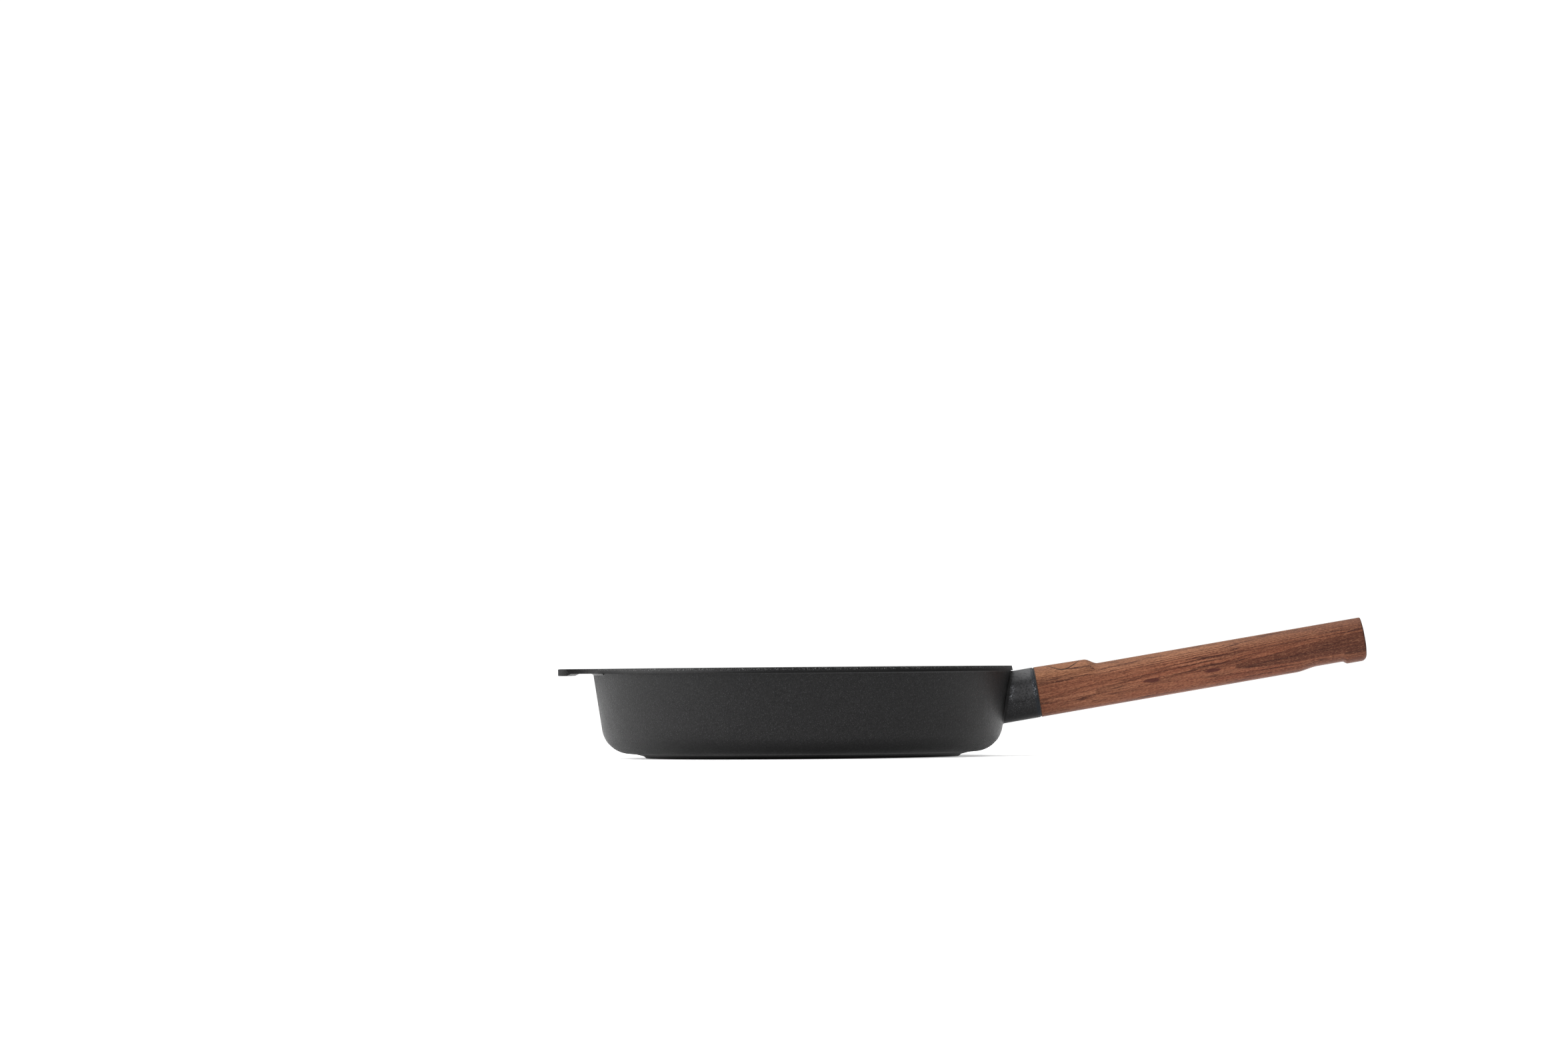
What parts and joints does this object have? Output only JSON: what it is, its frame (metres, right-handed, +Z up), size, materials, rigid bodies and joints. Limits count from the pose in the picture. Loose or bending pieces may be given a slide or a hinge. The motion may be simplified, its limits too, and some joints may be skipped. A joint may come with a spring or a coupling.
{
  "type": "skillet",
  "caption": "Deep black cast iron skillet with a helper lip and a screwed-on, rising wooden handle with a thumb pad and finger scoop.",
  "frame": {"origin": "centre of the flat base face, on the axis of the bowl", "axes": "+X towards the handle, +Z up along the bowl's axis, +Y to the left when looking along the handle"},
  "size_m": [0.5398, 0.282, 0.0903],
  "materials": {
    "black_iron": "satin, finely textured, seasoned",
    "bush_steel": "machined",
    "pin_steel": "ground",
    "beech": "heat-treated beech, oiled",
    "gasket_fibre": "matt pressed fibre",
    "sleeve_brass": "turned",
    "cup_steel": "drawn",
    "spring_steel": "tempered",
    "washer_steel": "zinc plated",
    "bolt_steel": "stainless, machined",
    "clip_steel": "tempered"
  },
  "bodies": {
    "pan": {"pan_casting": "black_iron", "thread_bush": "bush_steel", "locating_pins": "pin_steel"},
    "grip": {"wooden_grip": "beech", "heat_gasket": "gasket_fibre", "pin_sleeves": "sleeve_brass", "seat_cup": "cup_steel", "spring_washers": "spring_steel", "thrust_washer": "washer_steel"},
    "bolt": {"tie_bolt": "bolt_steel", "retaining_clip": "clip_steel"}
  },
  "joints": [
    {"name": "grip_slide", "type": "slide", "parent": "pan", "child": "grip", "axis": [0.9865, 0, 0.1635], "range_m": [0, 0.0125]},
    {"name": "bolt_turn", "type": "hinge", "parent": "grip", "child": "bolt", "pos_m": [0.15775, 0, 0.03993], "axis": [0.9865, 0, 0.1635], "range_deg": [0, 3601]}
  ],
  "couplings": [
    {"joint": "bolt_turn", "follows": "grip_slide", "rad_per_m": 5026.5}
  ]
}
